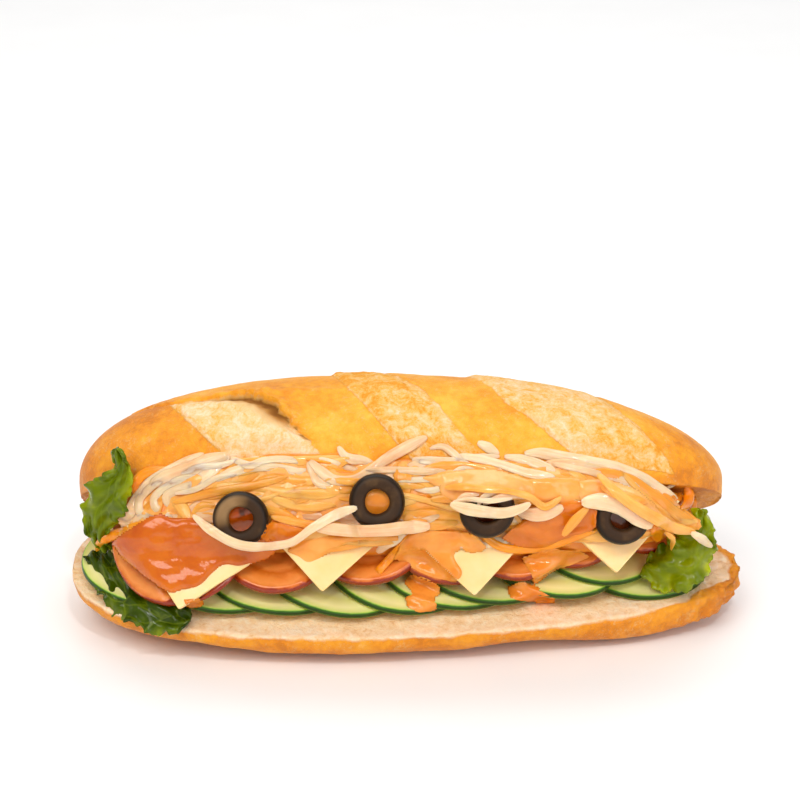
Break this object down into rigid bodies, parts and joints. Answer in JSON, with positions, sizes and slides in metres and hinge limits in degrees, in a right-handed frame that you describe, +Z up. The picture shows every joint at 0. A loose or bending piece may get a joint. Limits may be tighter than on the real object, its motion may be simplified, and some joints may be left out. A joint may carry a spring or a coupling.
{
  "type": "banh mi sandwich",
  "caption": "Short baguette opened along one side and filled with cucumber, tomato, cheese, lettuce, olive rings and a heap of shredded daikon and carrot.",
  "frame": {"origin": "on the flat of the loaf's base, below the middle of its length", "axes": "+X along the loaf, +Y from the open mouth towards the hinge side, +Z up"},
  "size_m": [0.216, 0.0903, 0.0789],
  "materials": {
    "crust": "baked golden crust, pale floury slashes, soft ivory crumb on the cut faces",
    "cucumber": "moist pale green flesh with a dark green skin",
    "cheese": "smooth pale yellow, satin",
    "olive": "brown-black, slightly glossy",
    "tomato": "wet orange-red flesh with a red skin",
    "lettuce": "crisp yellow-green leaf, satin",
    "shreds": "wet pickled daikon and onion with orange carrot, lightly sauced"
  },
  "bodies": {
    "root": {"bread": "crust", "cucumber_1": "cucumber", "cucumber_2": "cucumber", "cucumber_3": "cucumber", "cucumber_4": "cucumber", "cucumber_5": "cucumber", "cucumber_6": "cucumber", "cucumber_7": "cucumber", "cucumber_8": "cucumber", "cucumber_9": "cucumber", "cucumber_10": "cucumber", "cheese_1": "cheese", "cheese_2": "cheese", "cheese_3": "cheese", "cheese_4": "cheese", "olive_1": "olive", "olive_2": "olive", "olive_3": "olive", "olive_4": "olive", "tomato_1": "tomato", "tomato_2": "tomato", "tomato_3": "tomato", "tomato_4": "tomato", "tomato_5": "tomato", "tomato_6": "tomato", "tomato_7": "tomato", "lettuce_left": "lettuce", "lettuce_front_left": "lettuce", "lettuce_right": "lettuce", "shreds": "shreds"}
  },
  "joints": []
}
